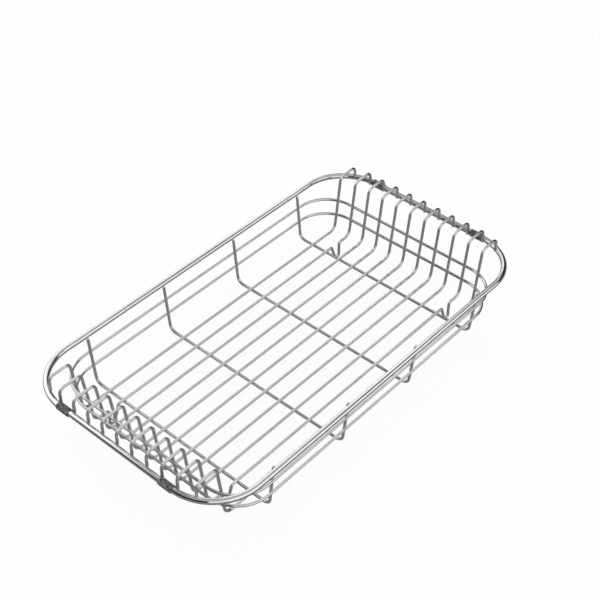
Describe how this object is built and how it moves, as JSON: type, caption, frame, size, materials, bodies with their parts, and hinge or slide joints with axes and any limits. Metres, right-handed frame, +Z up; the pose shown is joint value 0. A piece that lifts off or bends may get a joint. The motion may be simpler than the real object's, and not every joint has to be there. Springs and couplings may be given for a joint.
{
  "type": "sink basket",
  "caption": "Rectangular welded-wire sink basket with a heavier rim, end wires hooked over to it, folded wire feet and rim sleeves.",
  "frame": {"origin": "middle of the footprint, on the ground that the feet stand on", "axes": "+X along the basket, +Y across it, +Z up out of its mouth"},
  "size_m": [0.4576, 0.254, 0.0897],
  "materials": {
    "wire_steel": "polished stainless wire",
    "rim_steel": "polished stainless wire",
    "sleeve_rubber": "matt dark grey"
  },
  "bodies": {
    "root": {"rim": "rim_steel", "upper_ring": "wire_steel", "lower_ring": "wire_steel", "long_wire_01": "wire_steel", "long_wire_02": "wire_steel", "long_wire_03": "wire_steel", "long_wire_04": "wire_steel", "long_wire_05": "wire_steel", "long_wire_06": "wire_steel", "long_wire_07": "wire_steel", "long_wire_08": "wire_steel", "long_wire_09": "wire_steel", "long_wire_10": "wire_steel", "long_wire_11": "wire_steel", "cross_wire_1": "wire_steel", "cross_wire_2": "wire_steel", "cross_wire_3": "wire_steel", "cross_wire_4": "wire_steel", "sleeve_1": "sleeve_rubber", "sleeve_2": "sleeve_rubber", "sleeve_3": "sleeve_rubber", "sleeve_4": "sleeve_rubber"}
  },
  "joints": []
}
